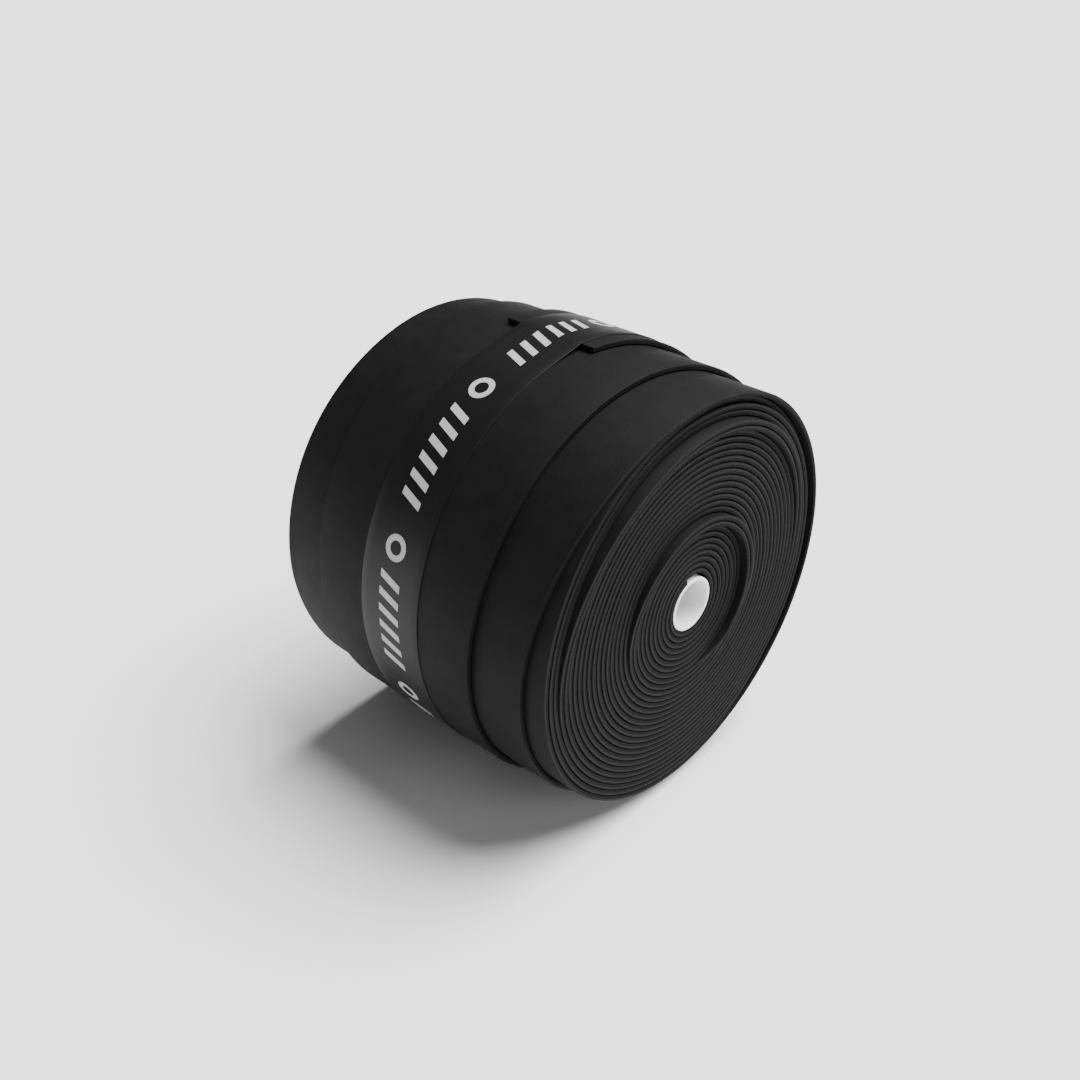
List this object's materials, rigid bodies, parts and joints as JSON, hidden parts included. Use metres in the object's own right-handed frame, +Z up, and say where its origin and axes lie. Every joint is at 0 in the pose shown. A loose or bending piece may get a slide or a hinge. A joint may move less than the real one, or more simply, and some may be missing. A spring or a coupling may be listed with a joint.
{
  "type": "grip tape roll",
  "caption": "Roll of black racket overgrip tape wound on a thin white core tube, its tapered outer end held down by a narrow finishing tape.",
  "frame": {"origin": "on the surface the roll lies on, under the middle of the core tube", "axes": "+X along the core tube's axis, towards the end with the proud turns, +Z up from the surface the roll lies on"},
  "size_m": [0.0255, 0.0322, 0.0325],
  "materials": {
    "white_plastic": "satin",
    "polyurethane": "matte",
    "nonwoven": "matte",
    "adhesive": "tacky",
    "liner_paper": "smooth paper",
    "finishing_film": "satin"
  },
  "bodies": {
    "roll": {"grip_cover": "polyurethane", "grip_backing": "nonwoven", "starter_adhesive": "adhesive", "starter_liner": "liner_paper", "finishing_tape": "finishing_film"},
    "core": {"core_tube": "white_plastic"}
  },
  "joints": [
    {"name": "core_push_out", "type": "slide", "parent": "roll", "child": "core", "axis": [1, 0, 0], "range_m": [-0.025, 0.025]}
  ]
}
